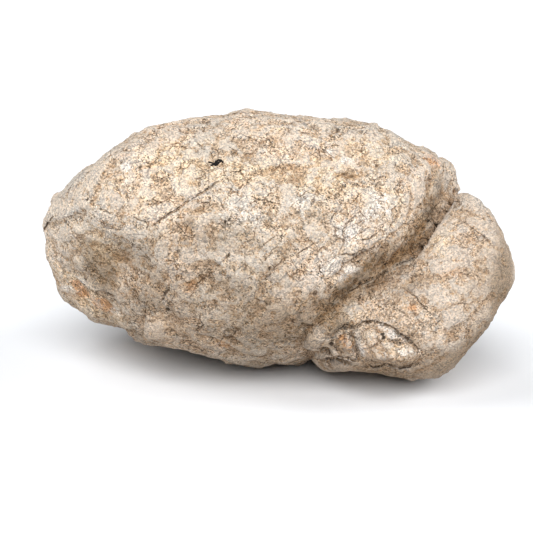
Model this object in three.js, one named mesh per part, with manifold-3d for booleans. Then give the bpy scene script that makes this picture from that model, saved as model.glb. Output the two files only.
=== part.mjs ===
// A whole, uncut geode: one closed stone, made of a large lobe and a smaller one that grew together, with a
// broken nodule in a socket low on the smaller one. Millimetres, +Z up. The origin is on the surface that
// the stone rests on, under the middle of its box. -Y is the side with the nodule.
import * as THREE from "three";
import { mergeVertices } from "three/addons/utils/BufferGeometryUtils.js";
import { ImprovedNoise } from "three/addons/math/ImprovedNoise.js";
import Module from "manifold-3d";

const wasm = await Module();
wasm.setup();

// Driving dimensions.
const LEAN = THREE.MathUtils.degToRad(15); // each lobe's widest outline leans back from upright
const GROUND_BLOCK = 600; // the block that cuts the resting surface, wider than the stone
const SAME_POINT = 1e-3; // vertices closer than this are one
const OUTLINE_STEPS = 400; // samples along an outline
const OCTAVES = 3; // layers of roughness, each with half the spacing of the one before
const OCTAVE_SHARE = 0.55; // height of a layer against the one before
const OCTAVE_SHIFT = 7; // moves each layer, so that their zeros don't line up

const up = new THREE.Vector3(0, Math.sin(LEAN), Math.cos(LEAN));
const noise = new ImprovedNoise();

// Layers of noise, from about -1 to 1, with the largest swells `grain` mm apart.
function roughness(point, grain) {
  let sum = 0;
  let share = 1;
  let scale = 1 / grain;
  for (let octave = 0; octave < OCTAVES; octave++) {
    sum += share * noise.noise(point.x * scale, point.y * scale + OCTAVE_SHIFT * octave, point.z * scale);
    share *= OCTAVE_SHARE;
    scale *= 2;
  }
  return sum;
}

// The widest outline of a lobe, through [across, up] points around its middle, given anticlockwise.
// The result says how far out the outline is at an angle from +X.
function outline(points) {
  const curve = new THREE.CatmullRomCurve3(points.map(([x, y]) => new THREE.Vector3(x, y, 0)), true);
  const ring = curve
    .getPoints(OUTLINE_STEPS)
    .map((place) => ({ angle: Math.atan2(place.y, place.x), reach: place.length() }))
    .sort((a, b) => a.angle - b.angle);
  return (angle) => {
    const next = ring.findIndex((sample) => sample.angle > angle);
    const after = ring[next < 0 ? 0 : next];
    const before = ring.at(next < 0 ? -1 : next - 1);
    const gap = THREE.MathUtils.euclideanModulo(after.angle - before.angle, 2 * Math.PI);
    const part = THREE.MathUtils.euclideanModulo(angle - before.angle, 2 * Math.PI);
    return THREE.MathUtils.lerp(before.reach, after.reach, part / gap);
  };
}

// A worn flat: the way it faces and its distance from the lobe's middle.
const flat = (across, away, rise, distance) => ({
  facing: new THREE.Vector3(across, away, rise).normalize(),
  distance,
});

// A lump, or a hollow where its rise is negative, centred at a point near the surface. With a soft edge of 1
// it fades out from its middle, and with a small one it is a plateau or a pit with a steep edge.
const lump = (at, reach, rise, soft = 1) => ({ at: new THREE.Vector3(...at), reach, rise, soft });

// How far a lump lifts the surface at a point.
function lift({ at, reach, rise, soft }, point) {
  return rise * (1 - THREE.MathUtils.smoothstep(point.distanceTo(at) / reach, 1 - soft, 1));
}

// One lobe: an icosphere whose points are moved out to the soft intersection of its outline and its flats,
// then lifted by its lumps and roughened.
function lobe({ middle, edge, flats, corner, lumps, detail, grain, roughHeight }) {
  const geometry = new THREE.IcosahedronGeometry(1, detail);
  geometry.deleteAttribute("normal");
  geometry.deleteAttribute("uv");
  const places = geometry.getAttribute("position");
  const way = new THREE.Vector3();
  const point = new THREE.Vector3();
  for (let i = 0; i < places.count; i++) {
    way.fromBufferAttribute(places, i).normalize();
    const rise = way.dot(up);
    let pull = (Math.hypot(way.x, rise) / edge(Math.atan2(rise, way.x))) ** corner;
    for (const { facing, distance } of flats) {
      pull += Math.max(0, facing.dot(way) / distance) ** corner;
    }
    point.copy(way).multiplyScalar(pull ** (-1 / corner)).add(middle);
    let height = roughHeight * roughness(point, grain);
    for (const each of lumps) height += lift(each, point);
    point.addScaledVector(way, height);
    places.setXYZ(i, point.x, point.y, point.z);
  }
  return mergeVertices(geometry, SAME_POINT);
}

const mainLobe = () => lobe({
  middle: new THREE.Vector3(-18, 0, 77),
  corner: 10,
  detail: 17,
  grain: 55,
  roughHeight: 3,
  edge: outline([
    [152, 41], [135, 57], [98, 67], [79, 77], [35, 84], [0, 86], [-28, 81], [-53, 77], [-76, 64], [-98, 44],
    [-116, 30], [-131, 14], [-124, -23], [-104, -45], [-83, -50], [-66, -60], [-44, -64], [-9, -76],
    [16, -76], [43, -72], [60, -61], [85, -42], [114, -12],
  ]),
  flats: [
    flat(0.08, -0.72, 0.68, 86),
    flat(0.05, -0.96, 0.25, 90),
    flat(-0.42, -0.82, -0.38, 87),
    flat(-0.05, -0.68, -0.73, 80),
    flat(0.62, -0.55, -0.55, 83),
    flat(0.80, -0.58, -0.10, 119),
    flat(0.89, -0.45, 0.05, 125),
    flat(-0.80, -0.6, 0.10, 131),
    flat(0, 0.72, 0.69, 102),
    flat(0, 1, 0, 110),
    flat(-0.2, 0.75, -0.6, 106),
    flat(0.6, 0.75, -0.3, 120),
    flat(0.75, 0.6, 0.25, 138),
    flat(-0.8, 0.6, 0.1, 134),
    flat(0, 0, -1, 92),
  ],
  lumps: [
    lump([-98, -70, 92], 34, -5),
    lump([-43, -86, 83], 20, -4),
    lump([-134, -20, 118], 32, 3, 0.3),
    lump([-140, 4, 112], 26, 5),
    lump([-124, -48, 48], 26, -4, 0.3),
    lump([-77, -58, 36], 20, 6),
    lump([81, -60, 92], 18, 5, 0.5),
    lump([20, 88, 110], 46, -6),
    lump([-70, 84, 70], 36, 5, 0.6),
    lump([70, 74, 66], 30, -5, 0.6),
    lump([-60, 40, 150], 30, -4, 0.7),
  ],
});

const sideLobe = () => lobe({
  middle: new THREE.Vector3(93, -30, 58),
  corner: 6,
  detail: 12,
  grain: 50,
  roughHeight: 2.5,
  edge: outline([
    [50, 9], [42, 33], [28, 60], [12, 71], [-14, 63], [-46, 24], [-66, -12], [-74, -36], [-63, -50],
    [-43, -49], [-12, -55], [-3, -55], [8, -50], [22, -35], [34, -18],
  ]),
  flats: [
    flat(0.25, -0.90, 0.25, 60),
    flat(-0.1, -0.9, -0.4, 60),
    flat(0.7, -0.6, -0.3, 62),
    flat(0.6, 0.6, 0.5, 60),
    flat(0.7, 0.5, -0.5, 60),
    flat(0, 1, 0, 64),
    flat(-0.55, -0.20, 0.81, 42),
    flat(-0.35, -0.75, 0.55, 50),
    flat(0, 0, -1, 68),
  ],
  lumps: [
    lump([63, -80, 32], 22, -4, 0.4),
    lump([38, -50, 28], 16, 5, 0.7),
    lump([128, 4, 50], 26, -4, 0.6),
  ],
});

// The broken nodule in its socket, longer than high and tipped down to the right.
const nodule = () => lobe({
  middle: new THREE.Vector3(63, -64, 35),
  corner: 5,
  detail: 7,
  grain: 20,
  roughHeight: 3,
  edge: outline([
    [20, -5], [12, 1], [3, 7], [-6, 10], [-14, 10], [-17, 3], [-14, -5], [-2, -11], [8, -13], [17, -11],
  ]),
  flats: [
    flat(0, -1, 0, 22),
    flat(0, 1, 0, 20),
  ],
  lumps: [],
});

// The neck, which fills the lower part of the valley between the lobes.
const neck = () => lobe({
  middle: new THREE.Vector3(40, -52, 56),
  corner: 3,
  detail: 8,
  grain: 24,
  roughHeight: 1.5,
  edge: outline([[24, 30], [8, 22], [-12, 2], [-26, -24], [-8, -26], [14, -4]]),
  flats: [
    flat(0.1, -0.95, 0.2, 25),
    flat(0, 1, 0, 20),
  ],
  lumps: [],
});

// A closed geometry as a manifold-3d solid.
function solid(geometry) {
  return new wasm.Manifold(new wasm.Mesh({
    numProp: 3,
    vertProperties: new Float32Array(geometry.getAttribute("position").array),
    triVerts: new Uint32Array(geometry.index.array),
  }));
}

// A manifold-3d solid as a geometry.
function geometryOf(made) {
  const { vertProperties, triVerts } = made.getMesh();
  return new THREE.BufferGeometry()
    .setAttribute("position", new THREE.BufferAttribute(vertProperties, 3))
    .setIndex(new THREE.BufferAttribute(triVerts, 1));
}

// Everything below the resting surface, as one block to cut away.
function ground() {
  const block = new THREE.BoxGeometry(GROUND_BLOCK, GROUND_BLOCK, GROUND_BLOCK);
  block.deleteAttribute("normal");
  block.deleteAttribute("uv");
  block.translate(0, 0, -GROUND_BLOCK / 2);
  return mergeVertices(block);
}

// The stone, fused from its lobes, its neck and its nodule and cut off flat where it rests.
const stone = [mainLobe, sideLobe, neck, nodule]
  .map((make) => solid(make()))
  .reduce((whole, piece) => whole.add(piece))
  .subtract(solid(ground()));

const crust = new THREE.MeshStandardMaterial({ color: 0xc2ae98, roughness: 0.9, metalness: 0 });
const geode = new THREE.Mesh(geometryOf(stone), crust);
geode.name = "geode";
geode.geometry.computeVertexNormals();
geode.geometry.computeBoundingBox();
const middle = geode.geometry.boundingBox.getCenter(new THREE.Vector3());
geode.position.set(-middle.x, -middle.y, -geode.geometry.boundingBox.min.z);

const group = new THREE.Group();
group.add(geode);
export default group;
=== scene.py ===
# %% [markdown]
# # A whole geode, uncut
# A geode that has never been cut looks like any lumpy stone: its crystals are closed in. What shows is the
# crust, a weathered limestone rind with pits, ledges, fine cracks and stains. This stone is two lobes that
# grew together, and a broken nodule sits low on the smaller one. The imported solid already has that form,
# with flat faces about 6 mm wide. This lesson makes the fine stone surface over it.

import math
import random

import bpy
import numpy as np
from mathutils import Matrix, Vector, noise


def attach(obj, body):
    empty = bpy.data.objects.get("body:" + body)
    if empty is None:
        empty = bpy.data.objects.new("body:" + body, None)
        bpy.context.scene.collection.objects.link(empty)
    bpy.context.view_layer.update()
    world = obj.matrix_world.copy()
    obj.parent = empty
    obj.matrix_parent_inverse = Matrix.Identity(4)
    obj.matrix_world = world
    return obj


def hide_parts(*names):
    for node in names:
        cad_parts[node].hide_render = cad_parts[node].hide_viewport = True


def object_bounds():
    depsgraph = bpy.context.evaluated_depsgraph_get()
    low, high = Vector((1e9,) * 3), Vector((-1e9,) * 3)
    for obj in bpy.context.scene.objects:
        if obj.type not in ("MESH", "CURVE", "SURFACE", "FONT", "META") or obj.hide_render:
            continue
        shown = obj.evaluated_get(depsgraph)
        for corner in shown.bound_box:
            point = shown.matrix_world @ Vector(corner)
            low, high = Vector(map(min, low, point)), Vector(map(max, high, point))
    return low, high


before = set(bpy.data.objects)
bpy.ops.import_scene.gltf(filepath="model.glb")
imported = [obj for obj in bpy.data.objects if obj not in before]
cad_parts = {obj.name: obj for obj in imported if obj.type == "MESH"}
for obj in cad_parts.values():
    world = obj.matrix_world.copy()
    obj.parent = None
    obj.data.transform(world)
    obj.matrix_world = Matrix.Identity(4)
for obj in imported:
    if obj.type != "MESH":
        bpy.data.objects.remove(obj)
CAD_BOX = [list(corner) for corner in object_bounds()]
MM = 0.001
print("solid spans", [round((high - low) / MM) for low, high in zip(*CAD_BOX)], "mm")

# %% [markdown]
# ## The camera
# A long lens from a little above the stone keeps its proportions true. It could be placed by eye, but the
# marks on the crust are placed later through this same camera, so its numbers are written down: 15 degrees
# above level, 85 mm lens, a little left of the stone's middle.

# %% Stand the camera
FRAME_PX = 533
LENS_MM = 85
SENSOR_MM = 36
ELEVATION = math.radians(15)
AIM = Vector((-4.7, -8.9, 65.6)) * MM
DISTANCE = 803 * MM
FARTHEST_SEEN = 50
BACK = Vector((0, -math.cos(ELEVATION), math.sin(ELEVATION)))
RIGHT = Vector((1, 0, 0))
UP = BACK.cross(RIGHT)
EYE = AIM + BACK * DISTANCE
FOCAL_PX = LENS_MM / SENSOR_MM * FRAME_PX

bpy.ops.object.camera_add(location=EYE, rotation=(math.pi / 2 - ELEVATION, 0, 0))
camera = bpy.context.object
camera.name = "camera"
camera.data.lens = LENS_MM
camera.data.sensor_width = SENSOR_MM
camera.data.clip_end = FARTHEST_SEEN
bpy.context.scene.camera = camera
print("camera at", [round(x, 3) for x in EYE])

# %% [markdown]
# ## Floor and light
# A stone on a white sweep, in a room full of soft light. Most of it comes from the front and from both sides,
# so that the shadow lies close under the stone and fades within a hand's width. Each softbox is a sun, whose
# light doesn't fall off, with a wide disc for soft edges. The floor gets more light than the picture can
# hold, as on a real white sweep, and the Standard view keeps it white. The room behind is white to the eye
# but lights nothing.

# %% Lay the floor and hang the lights
FLOOR_SIZE = 30
FLOOR_WHITE = (0.85, 0.87, 0.90, 1)
FLOOR_ROUGHNESS = 0.9
LIGHT_HEIGHT = 2
LIGHT_WIDTH = math.radians(45)
LIGHTS = [
    # name, strength, where it comes from in degrees (0 the front, 90 the right end), tilt from overhead
    ("front_softbox", 3.45, 0, 50),
    ("left_high_softbox", 0.95, 270, 30),
    ("left_low_softbox", 0.83, 270, 60),
    ("right_softbox", 1.6, 90, 60),
]

bpy.context.scene.view_settings.view_transform = "Standard"
bpy.ops.mesh.primitive_plane_add(size=FLOOR_SIZE, location=(0, 0, 0))
floor = bpy.context.object
floor.name = "floor"
floor_paint = bpy.data.materials.new("white_sweep")
floor_paint.use_nodes = True
paint_inputs = floor_paint.node_tree.nodes["Principled BSDF"].inputs
paint_inputs["Base Color"].default_value = FLOOR_WHITE
paint_inputs["Roughness"].default_value = FLOOR_ROUGHNESS
floor.data.materials.append(floor_paint)

for name, strength, turn, tilt in LIGHTS:
    facing = (math.radians(tilt), 0, math.radians(turn))
    bpy.ops.object.light_add(type="SUN", location=(0, 0, LIGHT_HEIGHT), rotation=facing)
    light = bpy.context.object
    light.name = name
    light.data.energy = strength
    light.data.angle = LIGHT_WIDTH

room = bpy.data.worlds.new("white_room")
room.use_nodes = True
room_tree = room.node_tree
seen = room_tree.nodes.new("ShaderNodeLightPath")
room_tree.nodes["Background"].inputs["Color"].default_value = (1, 1, 1, 1)
room_tree.links.new(seen.outputs["Is Camera Ray"], room_tree.nodes["Background"].inputs["Strength"])
bpy.context.scene.world = room
print("floor and", len(LIGHTS), "lights placed")

# %% [markdown]
# ## From faceted solid to fine skin
# The solid's 6 mm facets would show as a cut gem. A copy of it is merged into one skin, rounded by a
# subdivision surface and rebuilt by a voxel remesh into an even grid about a millimetre wide. An even grid is
# what carving needs: every hollow and crack then has points to move, on all sides of the stone.

# %% Make the fine skin
SKIN_STEP = 1.15 * MM
SAME_POINT = 0.01 * MM
SKIN_SMOOTHINGS = 3

bpy.ops.object.select_all(action="DESELECT")
stone = bpy.data.objects.new("geode_crust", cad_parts["geode"].data.copy())
bpy.context.scene.collection.objects.link(stone)
stone.data.materials.clear()
bpy.context.view_layer.objects.active = stone
stone.select_set(True)


def finish_with(kind, **settings):
    """Adds a modifier to the stone, sets it and applies it."""
    modifier = stone.modifiers.new(kind.lower(), kind)
    for name, value in settings.items():
        setattr(modifier, name, value)
    bpy.ops.object.modifier_apply(modifier=modifier.name)


bpy.ops.object.mode_set(mode="EDIT")
bpy.ops.mesh.select_all(action="SELECT")
bpy.ops.mesh.remove_doubles(threshold=SAME_POINT)
bpy.ops.object.mode_set(mode="OBJECT")
finish_with("SUBSURF", levels=1, render_levels=1)
finish_with("REMESH", mode="VOXEL", voxel_size=SKIN_STEP, use_smooth_shade=True)
finish_with("SMOOTH", factor=0.5, iterations=SKIN_SMOOTHINGS)
print(len(stone.data.vertices), "points in the skin")

# %% [markdown]
# ## Reading and moving the points
# The marks of a real stone don't follow a grid, so the next steps move points by number instead of by hand
# brush. All points are held in one table. Each carving tool finds the points near a place, works out how
# deep each one goes, and moves them along their own outward direction.

# %% Hold the points in a table
def read_points():
    """The stone's points and outward directions, as two tables in metres."""
    count = len(stone.data.vertices) * 3
    places, normals = np.empty(count), np.empty(count)
    stone.data.vertices.foreach_get("co", places)
    stone.data.vertex_normals.foreach_get("vector", normals)
    return places.reshape(-1, 3), normals.reshape(-1, 3)


def renew(places):
    """Puts moved points on the stone, and reads them back with their new outward directions."""
    stone.data.vertices.foreach_set("co", places.ravel())
    stone.data.update()
    return read_points()


def spot(px, py):
    """The point of the stone that the camera sees at this place in the picture."""
    across = (px - FRAME_PX / 2) / FOCAL_PX
    down = (py - FRAME_PX / 2) / FOCAL_PX
    ray = (RIGHT * across - UP * down - BACK).normalized()
    hit, place, _, _ = stone.ray_cast(EYE, ray)
    if not hit:
        place = stone.closest_point_on_mesh(EYE + ray * DISTANCE)[1]
    return place


def weigh(name, weights):
    """A vertex group on the stone, with a weight from 0 to 1 for every point, in twentieths."""
    group = stone.vertex_groups.new(name=name)
    for level in range(1, WEIGHT_LEVELS + 1):
        chosen = np.where(np.rint(weights * WEIGHT_LEVELS) == level)[0]
        if len(chosen):
            group.add(chosen.tolist(), level / WEIGHT_LEVELS, "REPLACE")


def raise_to(values, near, shares):
    """Raises the values of the near points to these shares, where they are lower."""
    values[near] = np.maximum(values[near], shares)


WEIGHT_LEVELS = 20
points, outward = read_points()
print("points run from", points.min(0).round(3), "to", points.max(0).round(3))

# %% [markdown]
# ## Two lobes
# The smaller lobe is smoother than the main one, so the script must tell them apart. The seam between them is
# the deepest hollow of the whole stone: comparing the skin with a much smoothed copy finds it, and a curved
# sheet fitted through it parts the two lobes.

# %% Find the seam between the lobes
def edges_of(item):
    """Each edge's two point numbers."""
    pairs = np.empty(len(item.data.edges) * 2, int)
    item.data.edges.foreach_get("vertices", pairs)
    return pairs.reshape(-1, 2)


def smoothed(values, pairs, rounds):
    """Every row of values drawn to the mean of its neighbours, again and again."""
    first, second = pairs.T
    count = len(values)
    neighbours = np.bincount(pairs.ravel(), minlength=count)
    for _ in range(rounds):
        sums = [
            np.bincount(first, column[second], count) + np.bincount(second, column[first], count)
            for column in values.T
        ]
        values = np.stack(sums, 1) / neighbours[:, None]
    return values


def seam_terms(places):
    """The terms of the sheet x = a + b*y + c*y*y + d*z + e*z*z, in metres."""
    y, z = places[:, 1], places[:, 2]
    return np.stack([np.ones_like(y), y, y * y, z, z * z], 1)


SEAM_ROUNDS = 90
SEAM_DEPTH = 1.2 * MM
SEAM_FADE = 5 * MM
SEAM_FROM = 20 * MM

points, outward = read_points()
sunk = ((smoothed(points, edges_of(stone), SEAM_ROUNDS) - points) * outward).sum(1)
groove = points[(sunk > SEAM_DEPTH) & (points[:, 0] > SEAM_FROM)]
seam_sheet = np.linalg.lstsq(seam_terms(groove), groove[:, 0], rcond=None)[0]


def side_share(places):
    """0 on the main lobe, 1 on the smaller lobe."""
    beyond = places[:, 0] - seam_terms(places) @ seam_sheet
    return np.clip(beyond / SEAM_FADE / 2 + 0.5, 0, 1)


print("seam sheet through", len(groove), "points:", seam_sheet.round(3))

# %% [markdown]
# ## The valley between the lobes
# In the solid, the lobes and the neck between them meet in sharp folds. On the stone, crust has grown over
# the folds, and a valley runs down to the nodule, narrow at its top and wide lower down. A Smooth modifier,
# held to the valley by a vertex group, fills the folds. The sharp contact line at the top is cut in later.

# %% Soften the valley
VALLEYS = [
    # half width mm, places from top to bottom
    (8, [(452, 194), (438, 214), (422, 238), (404, 256)]),
    (13, [(392, 274), (372, 290), (352, 308), (338, 328)]),
]
VALLEY_ROUNDS = 90
VALLEY_STEEP = 1.5


def near_line(line, reach):
    """The points within reach of a line: their numbers, distances, shares of the way along, and sides.
    The side is 1 on the left hand of someone walking along the line on the stone, and -1 on the right."""
    low, high = line.min(0) - reach, line.max(0) + reach
    near = np.where(((points >= low) & (points <= high)).all(1))[0]
    start, way = line[:-1], line[1:] - line[:-1]
    best = np.full(len(near), np.inf)
    share = np.zeros(len(near))
    side = np.ones(len(near))
    for number, (corner, step) in enumerate(zip(start, way)):
        off = points[near] - corner
        along = np.clip(off @ step / (step @ step), 0, 1)
        off = off - along[:, None] * step
        distance = np.sqrt((off ** 2).sum(1))
        closer = distance < best
        best[closer] = distance[closer]
        share[closer] = (number + along[closer]) / len(way)
        hand = (np.cross(step, off) * outward[near]).sum(1)
        side[closer] = np.where(hand[closer] < 0, -1, 1)
    kept = best < reach
    return near[kept], best[kept], share[kept], side[kept]


def beside(places, half, steep):
    """The points within half of a line through places in the picture, and a share for each: 1 along the line,
    and 0 at half, with a steeper fall for a higher steep."""
    near, distance, _, _ = near_line(np.array([spot(*place) for place in places]), half)
    return near, np.clip(steep * (1 - distance / half), 0, 1)


softness = np.zeros(len(points))
for half, places in VALLEYS:
    raise_to(softness, *beside(places, half * MM, VALLEY_STEEP))
weigh("valley", softness)
finish_with("SMOOTH", factor=0.9, iterations=VALLEY_ROUNDS, vertex_group="valley")
points, outward = read_points()
print("valley softened over", int((softness > 0).sum()), "points")

# %% [markdown]
# ## General roughness
# Weathering leaves broad shallow dips and a sandy grain. Displace modifiers with Blender's own procedural
# textures make both. They are held back on the smaller lobe and on the smooth facet at the left end by a
# vertex group.

# %% Roughen the skin
SIDE_ROUGHNESS = 0.78
FACET_ROUGHNESS = 0.45
FOOT_ROUGHNESS = 0.6
FOOT_HEIGHT = 6 * MM
FACET = [(58, 205), (76, 186), (96, 168)]
FACET_HALF = 17 * MM
FACET_STEEP = 1.6
DISPLACEMENTS = [
    # name, texture kind, settings, strength
    ("dips", "CLOUDS", {"noise_scale": 22 * MM, "noise_depth": 2}, 3.0 * MM),
    ("sand", "CLOUDS", {"noise_scale": 3 * MM, "noise_depth": 1}, 0.75 * MM),
]

roughness = 1 - (1 - SIDE_ROUGHNESS) * side_share(points)
near, share = beside(FACET, FACET_HALF, FACET_STEEP)
roughness[near] *= 1 - (1 - FACET_ROUGHNESS) * share
roughness *= FOOT_ROUGHNESS + (1 - FOOT_ROUGHNESS) * np.clip(points[:, 2] / FOOT_HEIGHT, 0, 1)
weigh("weathered", roughness)
for name, kind, settings, strength in DISPLACEMENTS:
    pattern = bpy.data.textures.new(name, kind)
    for key, value in settings.items():
        setattr(pattern, key, value)
    finish_with("DISPLACE", texture=pattern, strength=strength, mid_level=0.5,
                texture_coords="LOCAL", vertex_group="weathered")
points, outward = read_points()
print("dips and sand added")

# %% [markdown]
# ## Chips and flakes
# Limestone crust breaks in two ways. It chips, which leaves small flat faces that meet at edges, each tilted
# its own way. It also comes off in thin sheets, so its surface goes down in steps, like a contour map. A
# chip is a cell of a Voronoi pattern with a plane of its own. The steps are noise cut into levels, stretched
# along the bedding, which runs up to the right. All this swells the stone by a millimetre or two, so its
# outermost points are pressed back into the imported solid's box.

# %% Chip the skin and step it down in flakes
CHIPS = [(14 * MM, 1.3 * MM), (6 * MM, 0.55 * MM), (3.2 * MM, 0.35 * MM)]
CHIP_EDGE = 0.10
CHIP_SEED = 97
FLAKE_SIZE = 14 * MM
FLAKE_STRETCH = 1.15
FLAKE_LEVELS = 6
FLAKE_DROP = 0.42 * MM
FLAKE_EDGE = 0.22
FLAKE_LAYERS = [(1, 1), (0.5, 2.1), (0.25, 4.4)]


def ruffle(places, size):
    """Noise from -1 to 1 at each place, with lumps of this size."""
    return np.array([noise.noise(place) for place in (places / size).tolist()])


def chipped(places, size):
    """Heights of small tilted planes, from about -1 to 1, with cells of this size."""
    heights = []
    for place in (places / size).tolist():
        gaps, centres = noise.voronoi(place)
        planes = [
            (noise.cell_vector(centre * CHIP_SEED) - Vector((0.5, 0.5, 0.5))).dot(Vector(place) - centre)
            for centre in centres[:2]
        ]
        own = min(1, 0.5 + 0.5 * (gaps[1] - gaps[0]) / CHIP_EDGE)
        heights.append(2 * (planes[0] * own + planes[1] * (1 - own)))
    return np.array(heights)


def stepped(levels, edge):
    """Rounds each value to a whole number, with an edge of this width from one number to the next."""
    whole = np.floor(levels)
    rise = np.clip((levels - whole - 0.5) / edge + 0.5, 0, 1)
    return whole + rise * rise * (3 - 2 * rise)


bedding_way = np.array((spot(352, 236) - spot(262, 300)).normalized())
along = points @ bedding_way
squeezed = points - along[:, None] * bedding_way * (1 - 1 / FLAKE_STRETCH)
hills = sum(share * ruffle(squeezed, FLAKE_SIZE / size) for share, size in FLAKE_LAYERS)
flakes = stepped(hills * FLAKE_LEVELS / 2, FLAKE_EDGE) * FLAKE_DROP
chips = sum(height * chipped(squeezed, size) for size, height in CHIPS)
points += outward * ((flakes + chips) * roughness)[:, None]


def fit_to_box(places):
    """Squeezes the outermost stretch on each side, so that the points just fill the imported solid's box."""
    low, high = np.array(CAD_BOX)
    above = np.maximum(places - (high - FIT_BAND), 0)
    below = np.maximum(low + FIT_BAND - places, 0)
    above *= 1 - FIT_BAND / (places.max(0) - high + FIT_BAND)
    below *= 1 - FIT_BAND / (low - places.min(0) + FIT_BAND)
    return places - above + below


FIT_BAND = 14 * MM
points = fit_to_box(points)
points, outward = renew(points)
for name, heights in [("flakes", flakes), ("chips", chips)]:
    print(name, "over", round(float(np.ptp(heights)) / MM, 1), "mm")

# %% [markdown]
# ## Finer points where cracks go
# A crack is about a millimetre wide, as wide as one square of the grid. Where the cracks and the nodule lie,
# the squares are first divided, so that a narrow groove can have walls and a floor. Each line is written
# as places in the picture and dropped on the stone along the camera's sight lines.

# %% Lay the lines on the stone
WANDER_STEP = 2.5
WANDER_SIZE = 9
WANDER_PX = 1.1
WANDER_SEED = 11
noise.seed_set(WANDER_SEED)  # left alone, noise_vector is seeded by the clock


def lay(places, wander=WANDER_PX):
    """A line on the stone through these places in the picture, wandering a little as real breaks do."""
    path = []
    for (x0, y0), (x1, y1) in zip(places, places[1:]):
        count = max(1, round(math.hypot(x1 - x0, y1 - y0) / WANDER_STEP))
        for number in range(count):
            x, y = x0 + (x1 - x0) * number / count, y0 + (y1 - y0) * number / count
            drift = noise.noise_vector((x / WANDER_SIZE, y / WANDER_SIZE, 0))
            path.append(spot(x + drift.x * wander, y + drift.y * wander))
    path.append(spot(*places[-1]))
    return np.array(path)


LONG_CRACK = [
    (149, 228), (154, 225), (162, 219), (170, 213), (178, 209), (182, 206), (191, 198), (199, 194.5),
    (206, 190), (213, 186), (216.5, 182), (221.5, 181), (226, 180),
]
NODULE_ROOF = [
    (352, 332), (356, 328), (363, 323.5), (370, 322), (377, 322.5), (388, 327), (395, 331), (402, 335.5),
    (409, 340.5), (415, 346), (417.5, 351), (416, 357),
]
CRACKS = [
    # half width mm, depth mm, places
    # long cracks of the main lobe
    (0.8, 1.3, LONG_CRACK),
    (0.5, 0.5, [(221.5, 181), (226, 179), (230, 177.7), (234, 175.5)]),
    (0.8, 1.4, [(88, 190), (88, 196), (87, 202)]),
    (0.6, 0.7, [(96, 208), (104, 210), (110, 213), (116, 212)]),
    (0.5, 0.5, [(112, 180), (118, 190), (124, 198)]),
    (0.5, 0.7, [(130, 215), (138, 219), (145, 222), (150, 228)]),
    (0.8, 1.4, [(169, 283), (168, 290), (165, 295), (160, 303)]),
    (0.7, 1.2, [(200, 314), (200, 320), (203, 325), (200, 331)]),
    (0.6, 0.8, [(359, 211), (352, 219), (346, 224), (344, 230), (343, 246), (339, 254)]),
    (0.6, 0.9, [(337, 254.5), (342, 255), (347, 254.5), (357, 254), (367, 253), (375, 250)]),
    (0.9, 1.6, [(74, 276), (80, 281), (86, 287), (90, 291)]),
    # the smaller lobe
    (0.6, 0.5, [(452, 212), (462, 221), (473, 228), (484, 236), (494, 247)]),
    (0.6, 0.5, [(446, 309), (452, 305), (461, 303), (468, 304), (476, 300), (482, 298)]),
    (0.6, 0.7, [(399, 285.5), (405, 288.5), (410, 292), (415, 297), (421, 304), (428, 311), (432, 315.5)]),
    (0.5, 0.4, [(378, 321), (383, 313), (390, 307), (397, 308), (405, 314), (413, 322)]),
    (0.5, 0.4, [(419, 325), (427, 330), (437, 333), (446, 334)]),
    # the main lobe's brow and belly
    (0.8, 1.2, [(425, 220.5), (430, 219.5), (433, 217.5)]),
    (0.7, 0.8, [(358, 241), (364, 239.5), (371, 237.5), (378, 232)]),
    (0.5, 0.5, [(376, 228), (383, 224), (388, 221)]),
    (0.6, 0.5, [(255, 253), (262, 247), (272, 238), (280, 233)]),
    (0.5, 0.4, [(262, 262), (274, 250), (281, 240)]),
    (0.6, 0.6, [(290, 256), (297, 254), (307, 248), (314, 244), (322, 241)]),
    # the seam, from its foot to its top
    (0.9, 2.2, [(347, 294), (353, 290), (360, 286), (366, 281), (373, 278), (378, 276)]),
    (1.1, 3.0, [(377, 277), (383, 274), (389, 271), (397, 267), (404, 262), (411, 259), (417, 254)]),
    (1.2, 2.6, [(416, 255), (422, 245), (429, 234), (437, 224), (446, 210), (452, 200), (457, 191)]),
    # the nodule
    (1.2, 3.0, NODULE_ROOF),
    (1.1, 2.2, [(350, 331), (353, 338), (354, 345), (356, 354), (361, 363)]),
    (1.1, 2.2, [(386, 362), (392, 365.5), (400, 367.5), (409, 366), (415, 360)]),
    (0.9, 2.0, [(383, 336), (381, 341), (377, 345), (371, 346.5), (368, 345)]),
    (0.8, 1.6, [(385, 338), (390, 339.5), (395, 340), (400, 342), (405, 345)]),
    (0.8, 1.4, [(367, 364), (373, 367), (381, 366), (387, 362)]),
    # the rubble left of it
    (1.5, 3.0, [(356, 329), (351, 327), (346, 325), (342, 330), (336, 335), (329, 338), (322, 345)]),
    (1.1, 2.2, [(331, 358), (338, 357), (346, 358), (352, 360), (360, 362)]),
    (1.1, 2.0, [(330, 343), (336, 348), (340, 355), (344, 366)]),
]
MARK = [
    # the strokes of the small forked black mark on top
    [(208.8, 162.3), (211.5, 163), (214, 164)],
    [(210.7, 165.2), (212.5, 164.8), (214.5, 163.8), (216, 161.8)],
    [(215.3, 165), (216.2, 162.5), (217.3, 160.6), (219.5, 160.2), (221.5, 160.8), (222.7, 162.3)],
    [(216, 164.8), (218.5, 163), (220, 161.5)],
]
front_cracks = [(half, depth, lay(places)) for half, depth, places in CRACKS]
mark_lines = [lay(places, wander=0) for places in MARK]
print(len(front_cracks), "cracks and one mark laid on the front")

# %% [markdown]
# The hidden sides get cracks too, but no picture places them. A seeded walker starts from a chosen direction
# round the stone and wanders over its skin in short steps, so each run leaves the same cracks.

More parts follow.
